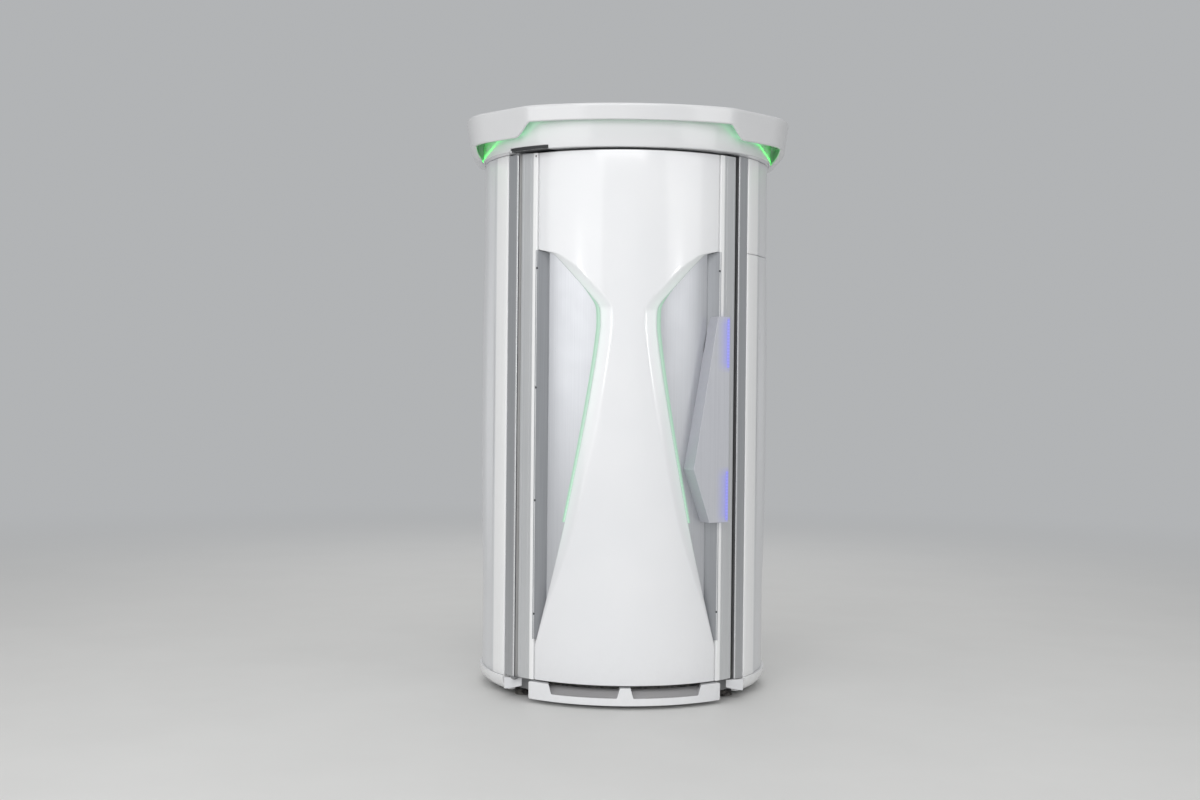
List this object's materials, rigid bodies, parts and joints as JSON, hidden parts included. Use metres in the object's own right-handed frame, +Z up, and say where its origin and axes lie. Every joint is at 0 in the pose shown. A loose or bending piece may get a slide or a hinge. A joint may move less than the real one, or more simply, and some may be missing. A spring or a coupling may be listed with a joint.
{
  "type": "light therapy booth",
  "caption": "Stand-up light therapy booth: a round white cabin with a curved hinged door, recessed silver windows, lit edges, a wide canopy and lamps behind clear shields.",
  "frame": {"origin": "on the floor, under the middle of the booth", "axes": "+Z up, -Y out of the door, +X to the latch side as seen by someone facing the door"},
  "size_m": [1.317, 1.277, 2.31],
  "materials": {
    "gloss_white": "gloss",
    "silver_sheet": "satin",
    "alloy": "satin",
    "steel": "satin",
    "dark_plastic": "matte",
    "reflector": "polished",
    "acrylic": "clear",
    "lamp_glass": "gloss",
    "green_light": "lit",
    "blue_light": "lit",
    "rubber": "matte",
    "start_green": "gloss",
    "stop_red": "gloss"
  },
  "bodies": {
    "cabin": {"base_pan": "steel", "left_base_skirt": "gloss_white", "right_base_skirt": "gloss_white", "foot_front_left": "rubber", "foot_front_right": "rubber", "foot_rear_left": "rubber", "foot_rear_right": "rubber", "front_plinth": "gloss_white", "intake_filter": "dark_plastic", "standing_floor": "rubber", "left_post": "alloy", "right_post": "alloy", "latch_seal": "rubber", "left_side_shell": "gloss_white", "right_side_shell_lower": "gloss_white", "right_side_shell_upper": "gloss_white", "rear_cover": "gloss_white", "left_reflector": "reflector", "right_reflector": "reflector", "left_lamp_bank": "lamp_glass", "right_lamp_bank": "lamp_glass", "left_shield_front": "acrylic", "left_shield_rear": "acrylic", "right_shield_front": "acrylic", "right_shield_rear": "acrylic", "rear_column": "alloy", "control_panel": "dark_plastic", "canopy_band": "gloss_white", "canopy_fascia": "gloss_white", "canopy_lid": "gloss_white", "canopy_light": "green_light", "ceiling_panel": "gloss_white", "ceiling_grille": "alloy", "roof_grille": "alloy", "fan_housing": "dark_plastic", "mains_gland": "dark_plastic", "top_hinge_bracket": "steel", "bottom_hinge_bracket": "steel"},
    "door": {"door_skin": "gloss_white", "door_insert_left": "silver_sheet", "door_insert_right": "silver_sheet", "door_led_left": "green_light", "door_led_right": "green_light", "door_trim_left": "gloss_white", "door_trim_right": "gloss_white", "door_frame_left": "alloy", "door_frame_right": "alloy", "door_top_rail": "alloy", "door_bottom_rail": "alloy", "door_back_panel": "reflector", "door_lamp_bank": "lamp_glass", "door_shield": "acrylic", "door_handle": "silver_sheet", "handle_light_upper": "blue_light", "handle_light_lower": "blue_light", "top_hinge_arm": "steel", "bottom_hinge_arm": "steel"},
    "fan": {"fan_rotor": "dark_plastic"},
    "start": {"start_button": "start_green"},
    "stop": {"stop_button": "stop_red"}
  },
  "joints": [
    {"name": "door_hinge", "type": "hinge", "parent": "cabin", "child": "door", "pos_m": [-0.43261, -0.40413, 0.09], "axis": [0, 0, -1], "range_deg": [0, 105]},
    {"name": "fan_spin", "type": "hinge", "parent": "cabin", "child": "fan", "pos_m": [0, 0, 2.2317], "axis": [0, 0, 1], "continuous": true},
    {"name": "start_press", "type": "slide", "parent": "cabin", "child": "start", "axis": [0, 1, 0], "range_m": [0, 0.003], "stiffness_N_per_m": 300},
    {"name": "stop_press", "type": "slide", "parent": "cabin", "child": "stop", "axis": [0, 1, 0], "range_m": [0, 0.003], "stiffness_N_per_m": 300}
  ]
}
